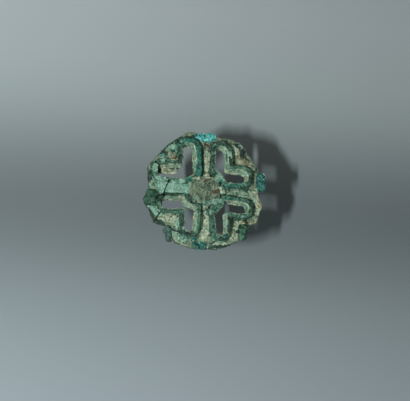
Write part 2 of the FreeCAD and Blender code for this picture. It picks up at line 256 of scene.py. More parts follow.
def soft_noise(points, size, seed):
    """Smooth noise between -1 and 1 whose lumps are about size across."""
    scaled = points / size
    corner = np.floor(scaled).astype(np.int64)
    part = scaled - corner
    part = part * part * part * (part * (part * 6 - 15) + 10)
    total = 0
    for step_x in (0, 1):
        for step_y in (0, 1):
            for step_z in (0, 1):
                weight = np.abs(1 - step_x - part[:, 0])
                weight = weight * np.abs(1 - step_y - part[:, 1])
                weight = weight * np.abs(1 - step_z - part[:, 2])
                total = total + weight * hashed(
                    corner[:, 0] + step_x, corner[:, 1] + step_y, corner[:, 2] + step_z, seed)
    return 2 * total - 1


def rough_noise(points, size, seed, octaves=4, keep=0.55):
    """Smooth noise with finer and weaker noise on it, mostly between -1 and 1."""
    total = 0
    weight = 1.0
    full = 0.0
    for octave in range(octaves):
        total = total + weight * soft_noise(points, size / 2 ** octave, seed + 17 * octave)
        full += weight
        weight *= keep
    return total / full * 1.5


def grain_noise(points, size, seed):
    """Distance to the nearest of scattered grains, to the next nearest, and the grain's own number."""
    scaled = points / size
    corner = np.floor(scaled).astype(np.int64)
    nearest = np.full(len(points), 9.0)
    following = np.full(len(points), 9.0)
    own = np.zeros(len(points))
    for step_x in (-1, 0, 1):
        for step_y in (-1, 0, 1):
            for step_z in (-1, 0, 1):
                cell = corner + (step_x, step_y, step_z)
                where = [hashed(cell[:, 0], cell[:, 1], cell[:, 2], seed + k) for k in range(3)]
                distance = np.linalg.norm(cell + np.stack(where, 1) - scaled, axis=1)
                closer = distance < nearest
                following = np.where(closer, nearest, np.minimum(following, distance))
                own = np.where(closer, hashed(cell[:, 0], cell[:, 1], cell[:, 2], seed + 5), own)
                nearest = np.minimum(nearest, distance)
    return nearest, following, own


def smooth_step(low, high, value):
    """0 at low, 1 at high and soft between them, also where high is the smaller."""
    share = np.clip((value - low) / (high - low), 0, 1)
    return share * share * (3 - 2 * share)


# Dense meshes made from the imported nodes

def node_points(name):
    """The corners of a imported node, welded, in millimetres, and its faces."""
    work = bmesh.new()
    work.from_mesh(frame["nodes"][name].data)
    bmesh.ops.remove_doubles(work, verts=work.verts, dist=1e-7)
    work.verts.index_update()
    points = np.array([vertex.co for vertex in work.verts]) / MM
    faces = [[vertex.index for vertex in face.verts] for face in work.faces]
    work.free()
    return points, faces


def dense_mesh(name, points, faces, voxel):
    """One closed mesh of even small faces round a closed solid."""
    mesh = bpy.data.meshes.new(name)
    mesh.from_pydata(points.tolist(), [], faces)
    obj = bpy.data.objects.new(name, mesh)
    scene.collection.objects.link(obj)
    change = obj.modifiers.new("voxels", "REMESH")
    change.mode = "VOXEL"
    change.voxel_size = voxel
    graph = bpy.context.evaluated_depsgraph_get()
    made = bpy.data.meshes.new_from_object(obj.evaluated_get(graph))
    obj.modifiers.clear()
    obj.data = made
    made.name = name
    bpy.data.meshes.remove(mesh)
    return obj


def get_points(mesh):
    flat = np.empty(len(mesh.vertices) * 3, np.float32)
    mesh.vertices.foreach_get("co", flat)
    return flat.reshape(-1, 3).astype(float)


def get_normals(mesh, points):
    """Moves the mesh to the points and returns the normal at each."""
    mesh.vertices.foreach_set("co", points.astype(np.float32).ravel())
    mesh.update()
    flat = np.empty(len(points) * 3, np.float32)
    mesh.vertex_normals.foreach_get("vector", flat)
    return flat.reshape(-1, 3).astype(float)


def get_edges(mesh):
    flat = np.empty(len(mesh.edges) * 2, np.int32)
    mesh.edges.foreach_get("vertices", flat)
    return flat.reshape(-1, 2)


def relaxed(points, edges, times, share=0.5):
    """Every point moved towards the mean of its neighbours, again and again."""
    count = np.bincount(edges.ravel(), minlength=len(points))[:, None].clip(1)
    for _ in range(times):
        total = np.stack([
            np.bincount(edges[:, 0], points[edges[:, 1], axis], len(points))
            + np.bincount(edges[:, 1], points[edges[:, 0], axis], len(points))
            for axis in range(3)], 1)
        points = points + share * (total / count - points)
    return points


def spread_value(values, edges, times):
    """Every value moved halfway to the mean of its neighbours, again and again."""
    count = np.bincount(edges.ravel(), minlength=len(values)).clip(1)
    for _ in range(times):
        total = (np.bincount(edges[:, 0], values[edges[:, 1]], len(values))
                 + np.bincount(edges[:, 1], values[edges[:, 0]], len(values)))
        values = 0.5 * values + 0.5 * total / count
    return values


solid_points = {name: node_points(name) for name in frame["nodes"]}
solid_trees = {
    name: BVHTree.FromPolygons([Vector(p) for p in points], faces)
    for name, (points, faces) in solid_points.items()}


def gap_to(points, names, reach):
    """The distance from each point to the nearest of the named nodes, at most reach."""
    gaps = np.full(len(points), reach)
    for name in names:
        low = solid_points[name][0].min(0) - reach
        high = solid_points[name][0].max(0) + reach
        tree = solid_trees[name]
        for index in np.flatnonzero(((points > low) & (points < high)).all(1)):
            found = tree.find_nearest(Vector(points[index]), gaps[index])
            if found[3] is not None:
                gaps[index] = min(gaps[index], found[3])
    return gaps


SIDE_FACING = 0.6  # a face is a side where its normal is at least this level
CLEAR_OF_SKIN = 0.6  # where a ray starts, in millimetres off its face


def faces_itself(name, points, normals, reach):
    """1 where a level ray along the normal meets the same solid again, as across an opening."""
    tree = solid_trees[name]
    found = np.zeros(len(points))
    level = normals.copy()
    level[:, 1] = 0
    length = np.linalg.norm(level, axis=1)
    for index in np.flatnonzero(length > SIDE_FACING):
        way = Vector(level[index] / length[index])
        hit = tree.ray_cast(Vector(points[index]) + CLEAR_OF_SKIN * way, way, reach)
        if hit[0] is not None:
            found[index] = 1
    return found


# Where each mineral lies on the front: place across and up, half widths (mm), turn (radians), weight

PATCHES = {
    "plate": {
        "mint": [
            (-15, -0.5, 8, 3.4, 0.0, 1.0), (-14.0, 19.0, 3.0, 1.6, 0.7, 0.8),
            (-18.5, 14.2, 3.2, 1.6, 0.4, 0.8), (-23.0, 7.0, 1.8, 4.0, 0.1, 0.8),
            (-22.3, -9.2, 2.2, 3.4, 0.35, 1.0), (0.2, -13.0, 2.4, 6.5, 0.0, 1.2),
            (15.0, 0.9, 6, 1.6, 0.0, 0.6), (-9.2, -20.8, 4.0, 1.6, -0.5, 0.75),
            (-11.8, -14.7, 2.4, 1.4, -0.3, 0.7), (-15.1, -12.6, 3.6, 1.6, 0.0, 0.6),
            (7.5, 24.0, 3.6, 1.1, -0.2, 0.5), (24.6, 1.6, 1.5, 1.4, 0.0, 0.6)],
        "cream": [
            (0.9, 13.5, 1.8, 6.5, 0.0, 0.95), (2.0, 20.8, 3.6, 1.6, 0.0, 0.7),
            (14.3, 18.8, 3.2, 1.7, -0.7, 0.9), (24.0, -4.6, 1.7, 5.2, 0.08, 1.0),
            (22.4, 2.0, 1.3, 2.4, 0.0, 0.6), (16.0, -14.4, 3.6, 2.6, 0.6, 0.85),
            (12.4, -18.8, 3.4, 2.2, 0.7, 0.85), (6.5, -23.0, 4.6, 1.2, 0.25, 0.8),
            (-15.1, -12.5, 3.8, 1.7, 0.0, 1.2), (-0.6, -19.0, 2.4, 2.4, 0.0, 1.1),
            (0.0, -12.0, 1.4, 6.0, 0.0, 0.9), (17.6, 14.4, 3.2, 1.4, -0.6, 0.9),
            (14.5, 0.6, 6.0, 0.8, 0.0, 0.55), (-4.5, -22.3, 3.4, 1.0, -0.1, 0.55),
            (-16.5, 12.9, 4.0, 1.0, 0.1, 0.5), (-14.6, 7.5, 3.2, 0.7, 0.0, 1.0),
            (-18.6, 9.6, 1.6, 0.8, 0.0, 0.9)],
        "ochre": [
            (16.6, 14.6, 2.8, 0.8, -0.6, 0.8), (19.6, -12.5, 3.2, 1.0, 0.2, 0.95),
            (-12.9, 14.4, 2.2, 1.1, 0.2, 0.8), (-17.0, 8.4, 2.6, 0.6, 0.0, 0.35),
            (12.9, -16.5, 1.3, 2.2, 0.3, 0.5), (22.0, -8.5, 0.9, 2.6, 0.0, 0.45),
            (24.3, -4.0, 1.3, 3.5, 0.1, 0.35), (14.0, 18.0, 2.4, 1.0, -0.7, 0.35)],
        "brown": [
            (1.4, 20.2, 3.2, 0.9, 0.25, 0.8), (18.0, 16.6, 2.6, 0.9, -0.6, 0.8),
            (5.0, -24.4, 4.5, 0.6, 0.2, 0.7), (-17.5, 16.0, 1.2, 0.7, 0.0, 0.4),
            (21.0, 12.6, 1.4, 0.9, 0.0, 0.5)],
        "dark": [
            (-7.0, 24.0, 5.0, 0.9, 0.1, 0.8), (-16.0, 20.0, 5.5, 0.7, 0.75, 0.8),
            (-24.6, 5.5, 0.8, 6.0, 0.05, 0.8), (-22.4, -4.2, 3.4, 3.0, 0.0, 0.95),
            (-23.0, -11.5, 1.0, 3.4, 0.5, 0.8), (-19.0, -15.6, 3.0, 1.0, -0.6, 0.7),
            (16.7, -16.4, 2.2, 1.6, 0.3, 0.9), (26.4, -3.0, 0.7, 5.0, 0.0, 0.6),
            (-17.4, 12.1, 4.0, 0.5, 0.0, 0.6), (-20.0, 8.2, 0.9, 1.4, 0.0, 0.7),
            (-14.0, 9.6, 2.6, 0.5, 0.0, 0.5), (14.0, 21.8, 4.5, 0.6, -0.7, 0.7),
            (6.0, -24.3, 5.6, 0.9, 0.22, 0.85), (-13.5, -17.6, 3.0, 1.0, -0.5, 0.7),
            (23.5, 10.0, 1.2, 2.5, 0.3, 0.6), (5.0, 25.6, 3.6, 0.6, -0.1, 0.5)],
        "teal": [
            (-2.0, -23.4, 3.4, 1.2, 0.0, 1.0), (-9.0, 21.8, 3.4, 1.2, 0.5, 0.7),
            (-14.5, 17.6, 5.0, 1.0, 0.75, 0.5), (-1.5, 12.8, 0.8, 7.0, 0.0, 0.9),
            (-3.4, 24.8, 2.4, 0.9, 0.0, 0.7), (-21.4, -5.6, 2.0, 1.6, 0.0, 0.5),
            (24.6, 5.4, 1.8, 4.2, 0.0, 0.85), (22.0, 9.6, 1.6, 1.6, 0.3, 0.5),
            (16.8, 0.8, 2.6, 1.0, 0.0, 0.4)],
        "turquoise": [
            (0.9, 23.8, 3.8, 1.1, 0.0, 1.0), (25.4, 2.4, 1.1, 1.2, 0.0, 0.6),
            (16.4, -18.8, 1.0, 1.1, 0.0, 0.8), (-2.0, -22.9, 1.6, 0.6, 0.0, 0.5)],
    },
    "wall": {
        "mint": [
            (-20.0, 3.6, 3.4, 2.4, 0.1, 0.95), (-13.0, 3.4, 5.0, 1.3, 0.0, 0.75),
            (-22.0, 7.5, 1.6, 3.2, 0.0, 0.8), (-18.7, 12.6, 3.2, 1.2, 0.1, 0.85),
            (5.8, 6.6, 1.6, 1.3, 0.0, 1.0), (7.6, 5.4, 1.3, 0.9, 0.0, 0.8),
            (5.4, -5.0, 1.8, 1.0, 0.5, 0.85), (13.8, 3.0, 5.0, 0.8, 0.0, 0.5),
            (9.6, -9.2, 1.0, 1.0, 0.0, 0.5), (2.0, 9.0, 0.8, 3.0, 0.0, 0.4),
            (-6.8, -7.6, 1.6, 1.0, 0.0, 0.4), (15.8, 10.6, 3.0, 0.7, 0.0, 0.5),
            (-19.6, -9.4, 1.6, 1.6, 0.0, 0.6), (2.0, -10.6, 0.9, 2.0, 0.0, 0.5)],
        "cream": [
            (-14.6, 12.9, 2.0, 0.8, 0.0, 0.6), (13.0, 11.6, 1.6, 0.8, 0.0, 0.4),
            (-12.4, -4.4, 2.0, 0.7, 0.0, 0.5)],
        "ochre": [
            (-13.2, 13.3, 1.9, 1.0, 0.1, 0.8), (-12.6, -4.2, 2.4, 0.6, 0.0, 0.7)],
        "brown": [
            (-14.1, -2.7, 4.0, 0.8, 0.0, 0.4), (-11.6, 16.0, 0.8, 2.6, 0.0, 0.5)],
        "dark": [
            (-15.4, -2.2, 4.6, 1.2, 0.0, 0.8), (20.9, -6.4, 1.2, 3.4, 0.0, 0.8),
            (20.2, 6.2, 1.2, 3.4, 0.0, 0.7), (8.9, 21.2, 4.0, 1.1, 0.0, 0.7),
            (-8.2, -19.6, 3.4, 1.3, -0.3, 0.8), (-15.8, -8.8, 4.6, 0.8, 0.0, 0.5),
            (-11.0, -13.6, 0.9, 4.6, 0.0, 0.6), (-11.9, 16.0, 0.9, 3.6, 0.0, 0.7),
            (4.6, -21.0, 3.2, 0.9, 0.0, 0.5), (12.4, 15.6, 1.0, 3.6, 0.0, 0.5),
            (10.4, -15.0, 1.2, 4.6, 0.0, 0.6), (16.0, -9.8, 3.6, 1.0, 0.0, 0.5),
            (7.0, -20.8, 3.4, 1.0, 0.2, 0.5), (-19.6, -3.4, 2.2, 2.4, 0.0, 0.9),
            (-3.6, -6.4, 4.2, 0.9, -0.4, 0.7), (14.4, -2.2, 5.0, 0.8, -0.1, 0.6),
            (11.6, -14.6, 0.8, 4.2, 0.0, 0.5), (-1.9, -13.0, 0.7, 5.0, 0.0, 0.6)],
        "teal": [
            (-2.9, 13.0, 1.5, 7.4, 0.0, 1.0), (-6.6, 22.2, 4.0, 1.4, 0.0, 0.8),
            (12.6, 2.4, 5.4, 1.0, 0.0, 0.7), (-7.6, 4.4, 1.6, 1.2, 0.0, 0.7),
            (13.0, -2.6, 3.5, 0.8, 0.0, 0.4), (-9.4, 21.0, 2.2, 1.4, 0.7, 0.6)],
        "turquoise": [],
    },
    "boss": {
        "mint": [
            (5.3, 4.9, 1.7, 1.4, 0.0, 0.95), (4.4, -5.0, 2.4, 1.1, 0.3, 0.85),
            (-7.4, 2.2, 1.0, 1.6, 0.0, 0.5), (-5.2, -3.4, 1.8, 1.2, 0.0, 0.45),
            (-0.2, -6.6, 1.8, 1.6, 0.0, 0.9), (8.0, 0.5, 2.4, 1.6, 0.0, 0.8)],
        "cream": [
            (-4.6, 4.9, 1.5, 1.0, 0.0, 0.8), (0.8, 7.0, 2.0, 1.4, 0.0, 0.9),
            (5.6, 2.0, 1.0, 1.8, 0.0, 0.5), (-0.2, -7.4, 1.4, 1.2, 0.0, 0.7),
            (8.4, 0.2, 2.2, 0.8, 0.0, 0.5)],
        "ochre": [
            (0.4, 4.4, 2.8, 1.2, 0.0, 0.4)],
        "brown": [
            (3.9, -0.3, 1.7, 1.1, 0.2, 0.95), (0.6, 4.3, 2.0, 0.7, 0.2, 0.7),
            (-1.0, 0.6, 1.6, 0.6, 0.3, 0.4)],
        "dark": [
            (-6.9, -4.2, 1.0, 2.0, 0.2, 0.9), (-7.2, 4.8, 1.2, 1.2, 0.0, 0.8),
            (-3.4, -6.0, 2.6, 0.7, -0.2, 0.8)],
        "teal": [
            (-7.2, 4.6, 1.6, 1.4, 0.0, 0.6)],
        "turquoise": [],
    },
}
MINERALS = ["mint", "cream", "ochre", "brown", "dark", "teal", "turquoise"]  # each lies over the last
THICKNESS = {  # how far each stands out or lies deeper, in millimetres
    "mint": 0.10, "cream": 0.12, "ochre": 0.05, "brown": -0.06, "dark": -0.05, "teal": 0.06,
    "turquoise": 0.14}
STAIN_DEPTH = 0.10


def patch_mask(points, patches):
    """How far each point lies inside the patches, from 0 to their weight, with wandering borders."""
    across = points[:, 0] + 0.8 * soft_noise(points, 2.4, 301) + 0.4 * soft_noise(points, 0.9, 303)
    up = points[:, 2] + 0.8 * soft_noise(points, 2.4, 302) + 0.4 * soft_noise(points, 0.9, 304)
    mask = np.zeros(len(points))
    for x, z, half_x, half_z, lean, weight in patches:
        away_x = across - x
        away_z = up - z
        along = (away_x * math.cos(lean) + away_z * math.sin(lean)) / half_x
        aside = (away_z * math.cos(lean) - away_x * math.sin(lean)) / half_z
        mask = np.maximum(mask, weight * (1 - smooth_step(0.4, 1.5, np.hypot(along, aside))))
    return mask


def store(mesh, name, values):
    """Keeps one value per corner, for the material to read."""
    layer = mesh.attributes.new(name, "FLOAT", "POINT")
    layer.data.foreach_set("value", values.astype(np.float32))


# Surface materials. The noises are in lumps per millimetre, and the colours run from dull to bright.

BROAD = 0.22
CLOUDS = 0.5
SPECKS = 0.8
MOTTLE = 1.1
GRIT = 1.5
CRYSTALS = 2.6
FINE = 3.6
SPECULAR_LEVEL = 0.4
BUMP_STRENGTH = 0.8
BUMP_HEIGHT = 0.00026
STAIN_SHADES = ((12, 38, 30), (48, 84, 66))
# Dark dirt and painted shade, laid into hollows, pits, creases and where parts meet
HOLLOW_DIRT_AND_SHADE = (22, 32, 26)
SPECK_DIRT = (36, 48, 38)
SHADES = {
    "mint": ((68, 112, 96), (138, 178, 156)),
    "cream": ((104, 124, 102), (178, 192, 164)),
    "ochre": ((92, 96, 72), (156, 150, 114)),
    "brown": ((48, 48, 36), (92, 84, 64)),
    "dark": ((8, 26, 20), (42, 78, 62)),
    "teal": ((8, 62, 56), (50, 126, 108)),
    "turquoise": ((44, 140, 138), (118, 214, 206)),
}


class Tree:
    """A node tree that is written from the base colour outwards."""

    def __init__(self, name):
        self.material, self.nodes, self.links = plain_material(name)

    def add(self, kind, inputs=None, **settings):
        """A new node, with each input linked to a socket or set to a value."""
        node = self.nodes.new(kind)
        for key, value in settings.items():
            setattr(node, key, value)
        for key, value in (inputs or {}).items():
            if isinstance(value, bpy.types.NodeSocket):
                self.links.new(value, node.inputs[key])
            else:
                node.inputs[key].default_value = value
        return node

    def sum(self, first, factor, second):
        """first * factor + second"""
        node = self.add("ShaderNodeMath", {0: first, 1: factor, 2: second}, operation="MULTIPLY_ADD")
        return node.outputs[0]

    def product(self, first, second):
        return self.add("ShaderNodeMath", {0: first, 1: second}, operation="MULTIPLY").outputs[0]

    def between(self, value, low, high):
        node = self.add("ShaderNodeMapRange", {
            "Value": value, "From Min": low, "From Max": high}, interpolation_type="SMOOTHSTEP")
        return node.outputs["Result"]

    def mix(self, factor, first, second):
        """One colour laid over another, through a colour mix node's own numbered sockets."""
        return self.add("ShaderNodeMix", {0: factor, 6: first, 7: second}, data_type="RGBA").outputs[2]

    def noise(self, where, per_mm, detail, rough, distortion=0.0):
        node = self.add("ShaderNodeTexNoise", {
            "Vector": where, "Scale": per_mm, "Detail": detail, "Roughness": rough, "Distortion": distortion})
        return node.outputs["Fac"]

    def cells(self, where, per_mm):
        return self.add("ShaderNodeTexVoronoi", {"Vector": where, "Scale": per_mm}).outputs["Distance"]

    def attribute(self, name):
        return self.add("ShaderNodeAttribute", attribute_name=name).outputs["Fac"]


def patina(name, low, high, tint, grime=0.8, rough=0.68):
    """Corroded metal: mottled ground, mineral patches, dirt and painted shade in hollows, dark edges."""
    tree = Tree(name)
    where = tree.add("ShaderNodeTexCoord").outputs["Object"]
    where = tree.add(
        "ShaderNodeVectorMath", {0: where, 1: (1000, 1000, 1000)}, operation="MULTIPLY").outputs[0]
    broad = tree.noise(where, BROAD, 4, 0.6, 0.6)
    mottle = tree.noise(where, MOTTLE, 8, 0.7, 0.5)
    fine = tree.noise(where, FINE, 6, 0.72)
    crystals = tree.cells(where, CRYSTALS)
    specks = tree.cells(where, SPECKS)
    clouds = tree.noise(where, CLOUDS, 3, 0.55, 0.8)
    tone = tree.sum(mottle, 0.35, tree.product(fine, 0.2))
    tone = tree.sum(clouds, 0.45, tone)
    tone = tree.between(tone, 0.39, 0.61)
    colour = tree.mix(tone, rgb(*low), rgb(*high))
    colour = tree.mix(tree.product(tree.between(broad, 0.45, 0.7), 0.5), colour, rgb(*tint))
    for mineral in MINERALS:
        mask = tree.attribute(mineral)
        uneven = tree.sum(fine, 0.9, mask)
        uneven = tree.sum(mottle, 0.5, uneven)
        share = tree.between(uneven, 0.98, 1.28)
        dull, bright = SHADES[mineral]
        shade = tree.mix(tone, rgb(*dull), rgb(*bright))
        colour = tree.mix(share, colour, shade)
    stain = tree.sum(fine, 0.8, tree.attribute("stain"))
    stain = tree.between(stain, 0.62, 1.12)
    dull, bright = STAIN_SHADES
    colour = tree.mix(tree.product(stain, grime), colour, tree.mix(tone, rgb(*dull), rgb(*bright)))
    # Painted shade and dark dirt: darker in hollows, pits, creases and where one piece meets another
    hollow_dirt_and_shade = tree.attribute("hollow_dirt_and_shade")
    hollow_dirt_and_shade = tree.between(tree.sum(fine, 0.4, hollow_dirt_and_shade), 0.35, 1.0)
    colour = tree.mix(tree.product(hollow_dirt_and_shade, 0.8), colour, rgb(*HOLLOW_DIRT_AND_SHADE))
    dots = tree.between(specks, 0.13, 0.06)
    colour = tree.mix(tree.product(dots, 0.35), colour, rgb(*SPECK_DIRT))
    grit = tree.add("ShaderNodeMapRange", {
        "Value": tree.noise(where, GRIT, 3, 0.6), "From Min": 0.33, "From Max": 0.67,
        "To Min": 0.7, "To Max": 1.28}).outputs["Result"]
    colour = tree.add("ShaderNodeVectorMath", {0: colour, "Scale": grit}, operation="SCALE").outputs[0]
    relief = tree.sum(mottle, 0.5, tree.product(fine, 0.35))
    relief = tree.sum(crystals, 0.25, relief)
    bump = tree.add("ShaderNodeBump", {
        "Strength": BUMP_STRENGTH, "Distance": BUMP_HEIGHT, "Height": relief}).outputs[0]
    dullness = tree.sum(tone, 0.2, rough - 0.1)
    shader = tree.add("ShaderNodeBsdfPrincipled", {
        "Base Color": colour, "Roughness": dullness, "Normal": bump,
        "Specular IOR Level": SPECULAR_LEVEL})
    output = tree.add("ShaderNodeOutputMaterial")
    tree.links.new(shader.outputs[0], output.inputs["Surface"])
    return tree.material


MATERIALS = {
    "plate_bronze": patina("plate_patina", (72, 100, 82), (138, 156, 128), (126, 132, 100)),
    "wall_bronze": patina("wall_patina", (8, 38, 30), (86, 134, 108), (44, 96, 78), rough=0.6),
    "boss_bronze": patina("boss_patina", (38, 66, 52), (124, 144, 118), (100, 112, 84), grime=0.75),
    "loop_bronze": patina("loop_patina", (48, 74, 58), (100, 124, 96), (92, 96, 66)),
    "mending_resin": patina("resin", (22, 26, 22), (62, 66, 54), (44, 48, 40), grime=0.3, rough=0.5),
    "turquoise_growth": patina(
        "turquoise_crystals", (40, 136, 134), (122, 216, 208), (60, 168, 160), grime=0.3, rough=0.55),
    "teal_growth": patina("teal_crystals", (10, 66, 64), (64, 140, 128), (24, 92, 92), grime=0.6, rough=0.55),
    "dark_growth": patina("dark_crystals", (8, 30, 22), (56, 104, 80), (26, 74, 56), rough=0.6),
    "grey_growth": patina("grey_crystals", (24, 50, 46), (84, 116, 104), (44, 82, 74), rough=0.65),
    "green_growth": patina("green_crystals", (14, 42, 32), (66, 114, 88), (34, 84, 66), rough=0.6),
    "mint_growth": patina("mint_crust", (70, 116, 100), (136, 178, 156), (100, 150, 132), grime=0.75),
    "burial_earth": patina(
        "dried_earth", (98, 112, 92), (170, 180, 154), (140, 142, 118), grime=0.6, rough=0.9),
}


# The pieces

WALLS = [node for node in frame["nodes"] if node.startswith(("wall_", "fragment_wall"))]
PLATES = ["base_plate", "rim_fragment"]
SLOTS = {
    "base_plate": "plate_bronze", "rim_fragment": "plate_bronze",
    "central_boss": "boss_bronze", "carrying_loop": "loop_bronze",
    "nodule_top": "turquoise_growth", "nodule_right": "teal_growth", "nodule_bottom": "teal_growth",
    "corrosion_mass_left": "dark_growth",
    "crust_lower_left": "grey_growth", "crust_lower_right": "green_growth",
    "spoke_crust_inner": "mint_growth", "spoke_crust_outer": "mint_growth",
    "earth_plug": "burial_earth", "soil_upper_right": "burial_earth", "soil_upper_left": "burial_earth",
    "seam_spoke": "mending_resin", "seam_lower_rim": "mending_resin", "seam_upper_rim": "mending_resin"}
SLOTS.update({node: "wall_bronze" for node in WALLS})

PLATE_FACE_Y = solid_points["central_boss"][0][:, 1].max()
FOOT_DEPTH = 0.45  # how far walls, block and crusts reach into the plate, so that they grow out of it
GAP_REACH = 1.6
OPENING_REACH = 17.0  # across the longest opening
BOX_MARGIN = 0.01


def pebble(centre, radii, seed):
    """A closed round lump of 162 corners, as points and faces in millimetres."""
    work = bmesh.new()
    bmesh.ops.create_icosphere(work, subdivisions=3, radius=1.0)
    points = np.array([vertex.co for vertex in work.verts])
    faces = [[vertex.index for vertex in face.verts] for face in work.faces]
    work.free()
    uneven = 1 + 0.28 * soft_noise(points + seed * 3.1, 0.9, seed)
    return points * uneven[:, None] * radii + centre, faces


# The mineral patches that each kind of piece shares in, and how much it is stained
LAYERS = {"plate": "plate", "crust": "plate", "soil": "plate", "wall": "wall", "boss": "boss"}
STAINS = {"plate": 0.75, "wall": 0.8, "boss": 0.6, "crust": 0.55, "growth": 0.8, "soil": 0.7}
PLAIN_STAIN = 0.5

# The depth where the listed patches of the front are whole, and where they have ended
PATCHES_WHOLE_Y = 3.2
PATCHES_END_Y = 4.2

# Scattered patches: mineral, size (mm), seed, the noise where it begins and where it is full, weight
BACK_SCATTER = [
    ("mint", 5.0, 911, 0.0, 0.5, 0.7), ("cream", 7.0, 912, 0.1, 0.6, 0.8),
    ("dark", 4.0, 913, 0.1, 0.6, 0.8)]
FRONT_SCATTER = [
    ("mint", 3.6, 941, 0.1, 0.7, 0.7), ("dark", 3.0, 942, 0.1, 0.7, 0.7),
    ("teal", 4.2, 943, 0.3, 0.8, 0.6)]


def surface_masks(kind, rest, normals, inside):
    """The share of every mineral at each point, and of the dark stain."""
    front = smooth_step(PATCHES_END_Y, PATCHES_WHOLE_Y, rest[:, 1])
    back = 1 - front
    ragged = 0.5 * rough_noise(rest, 2.4, 921) + 0.3 * soft_noise(rest, 0.8, 922)
    layer = LAYERS.get(kind)
    masks = {mineral: np.zeros(len(rest)) for mineral in MINERALS}

    def scatter(table, where):
        for mineral, size, seed, low, high, weight in table:
            found = where * smooth_step(low, high, rough_noise(rest, size, seed)) * weight
            masks[mineral] = np.maximum(masks[mineral], found)

    if layer:
        for mineral in MINERALS:
            masks[mineral] = patch_mask(rest, PATCHES[layer][mineral]) * front
    if kind == "wall":
        lower = smooth_step(0.7, 1.9, rest[:, 1] + 0.5 * soft_noise(rest, 1.6, 924)) * (1 - inside)
        for mineral in MINERALS:
            floor_mask = patch_mask(rest, PATCHES["plate"][mineral])
            masks[mineral] = masks[mineral] * (1 - lower) + floor_mask * lower * front
        masks["mint"] = np.maximum(masks["mint"], 0.6 * lower * front)
    if kind in ("plate", "wall", "boss", "loop"):
        scatter(BACK_SCATTER, back)
    if kind in ("plate", "wall"):
        free = front * (1 - 0.85 * smooth_step(0.45, 0.8, np.maximum(masks["cream"], masks["mint"])))
        scatter(FRONT_SCATTER, free)
    masks["mint"] = np.maximum(masks["mint"], inside * 0.95)
    masks["cream"] = np.maximum(masks["cream"], inside * (0.5 + 0.5 * rough_noise(rest, 3.0, 923)))
    for mineral in ("dark", "teal", "brown", "ochre"):
        masks[mineral] = masks[mineral] * (1 - inside)
    for mineral in MINERALS:
        solid = smooth_step(0.05, 0.3, masks[mineral])
        masks[mineral] = np.clip(masks[mineral] + solid * ragged * (1 - 0.7 * inside), 0, 1)
    blotches = smooth_step(0.05, 0.5, rough_noise(rest, 1.9, 931))
    blotches = blotches * smooth_step(-0.5, 0.3, rough_noise(rest, 8.0, 932))
    flank = smooth_step(0.93, 0.6, np.abs(normals[:, 1]))
    bright = smooth_step(0.7, 1.0, np.maximum(masks["cream"], masks["mint"]))
    stain = STAINS.get(kind, PLAIN_STAIN) * blotches * (1 - 0.6 * bright)
    if kind in ("wall", "plate"):
        outline = flank * (1 - inside) * (0.65 + 0.7 * rough_noise(rest, 1.7, 933))
        if kind == "wall":
            outline = outline * (1 - 0.75 * lower)
        rim_line = np.where(inside > 0.3, smooth_step(0.35, 0.75, np.abs(normals[:, 1])) * flank, 0)
        stain = np.maximum(stain, np.maximum(outline, rim_line * 0.9))
    masks["stain"] = np.clip(stain * (1 - 0.8 * inside * (flank > 0.9)), 0, 1)
    return masks


# What the corrosion moves, in millimetres
SWELL_SIZE = 3.4
WART_SPACING = 1.3
PIT_SPACING = 1.7
GRAIN_SIZE = 1.0
CRACK_SPACING = 1.7
SWAY = ((0.28, 5.0, 71), (0.16, 1.9, 73))  # how far, size, seed


def corroded(points, normals, gaps, seed, crust, swell, warts, pit_depth, grain, sink,
             foot=0.0, cracks=0.0):
    """A surface that swells and sinks, with warts, pits, grain and cracks, and spreads at its foot."""
    broad = soft_noise(points, SWELL_SIZE, seed)
    wart, _, own = grain_noise(points, WART_SPACING, seed + 40)
    wart = smooth_step(0.62, 0.1, wart) * (own > 0.45)
    pit, _, size = grain_noise(points, PIT_SPACING, seed + 80)
    pit = smooth_step(0.36, 0.12, pit) * (size > 0.62)
    move = crust + swell * broad + warts * wart - pit_depth * pit
    move = move + grain * rough_noise(points, GRAIN_SIZE, seed + 120)
    if cracks:
        bent = points * (1, 0.3, 1) + 0.5 * soft_noise(points, 1.6, 77)[:, None]
        first, second, _ = grain_noise(bent, CRACK_SPACING, seed + 160)
        line = smooth_step(0.12, 0.02, second - first) * smooth_step(-0.4, 0.3, soft_noise(points, 2.6, 78))
        move = move - cracks * line
        pit = np.maximum(pit, 0.6 * line)
    away = foot * smooth_step(1.0, 0.0, gaps) * (np.abs(normals[:, 1]) < 0.8)
    still = np.zeros(len(points))
    sway = sum(
        far * np.stack([soft_noise(points, size, number), still, soft_noise(points, size, number + 1)], 1)
        for far, size, number in SWAY)
    moved = points + normals * (move - sink + away)[:, None] + sway
    return moved, 0.7 * pit


